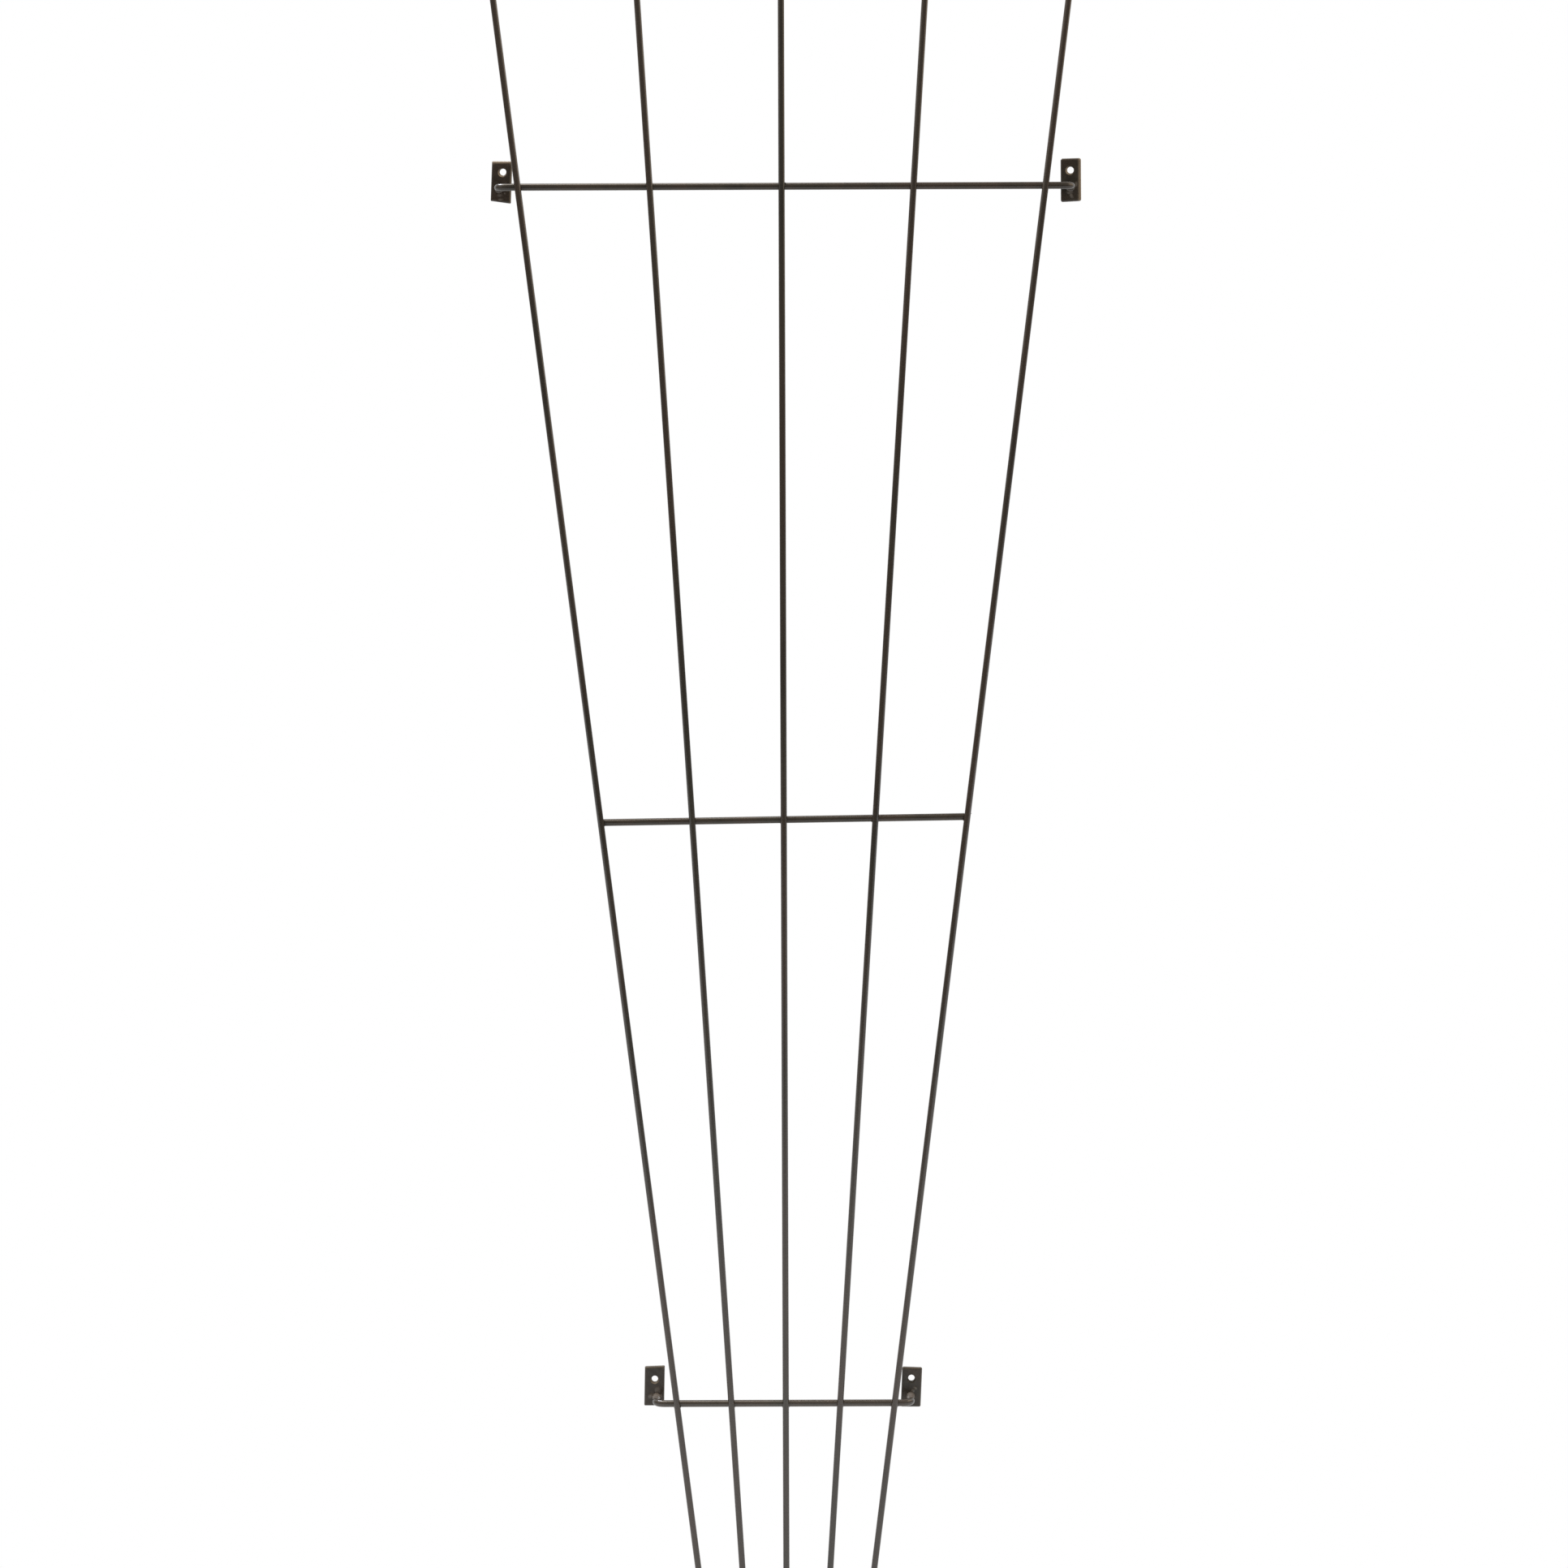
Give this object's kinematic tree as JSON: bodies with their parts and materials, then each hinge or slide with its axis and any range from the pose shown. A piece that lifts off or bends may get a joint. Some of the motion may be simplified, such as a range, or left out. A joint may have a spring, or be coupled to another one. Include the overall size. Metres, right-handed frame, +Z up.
{
  "type": "espalier frame",
  "caption": "Wall-mounted steel fan trellis: straight round uprights welded in front of round cross bars, its bar ends bent back to small screw plates, for training a climber or fruit tree.",
  "frame": {"origin": "on the wall plane, midway between the two upper screw holes", "axes": "+Z up along the uprights' fan, +X to the right seen from the front, +Y into the wall, so the front faces -Y"},
  "size_m": [0.623, 0.0409, 2.0006],
  "materials": {
    "coated_rod": "dark bronze-brown satin powder coat on drawn steel rod",
    "coated_plate": "dark bronze-brown satin powder coat on sheared flat bar",
    "coated_weld": "dark bronze-brown powder coat over small weld beads"
  },
  "bodies": {
    "root": {"upright_1": "coated_rod", "upright_2": "coated_rod", "upright_3": "coated_rod", "upright_4": "coated_rod", "upright_5": "coated_rod", "upper_bar": "coated_rod", "middle_bar": "coated_rod", "lower_bar": "coated_rod", "upper_left_plate": "coated_plate", "upper_right_plate": "coated_plate", "lower_left_plate": "coated_plate", "lower_right_plate": "coated_plate", "upper_bar_weld_1": "coated_weld", "upper_bar_weld_2": "coated_weld", "upper_bar_weld_3": "coated_weld", "upper_bar_weld_4": "coated_weld", "upper_bar_weld_5": "coated_weld", "middle_bar_weld_1": "coated_weld", "middle_bar_weld_2": "coated_weld", "middle_bar_weld_3": "coated_weld", "middle_bar_weld_4": "coated_weld", "middle_bar_weld_5": "coated_weld", "lower_bar_weld_1": "coated_weld", "lower_bar_weld_2": "coated_weld", "lower_bar_weld_3": "coated_weld", "lower_bar_weld_4": "coated_weld", "lower_bar_weld_5": "coated_weld", "upper_left_plate_weld": "coated_weld", "upper_right_plate_weld": "coated_weld", "lower_left_plate_weld": "coated_weld", "lower_right_plate_weld": "coated_weld"}
  },
  "joints": []
}
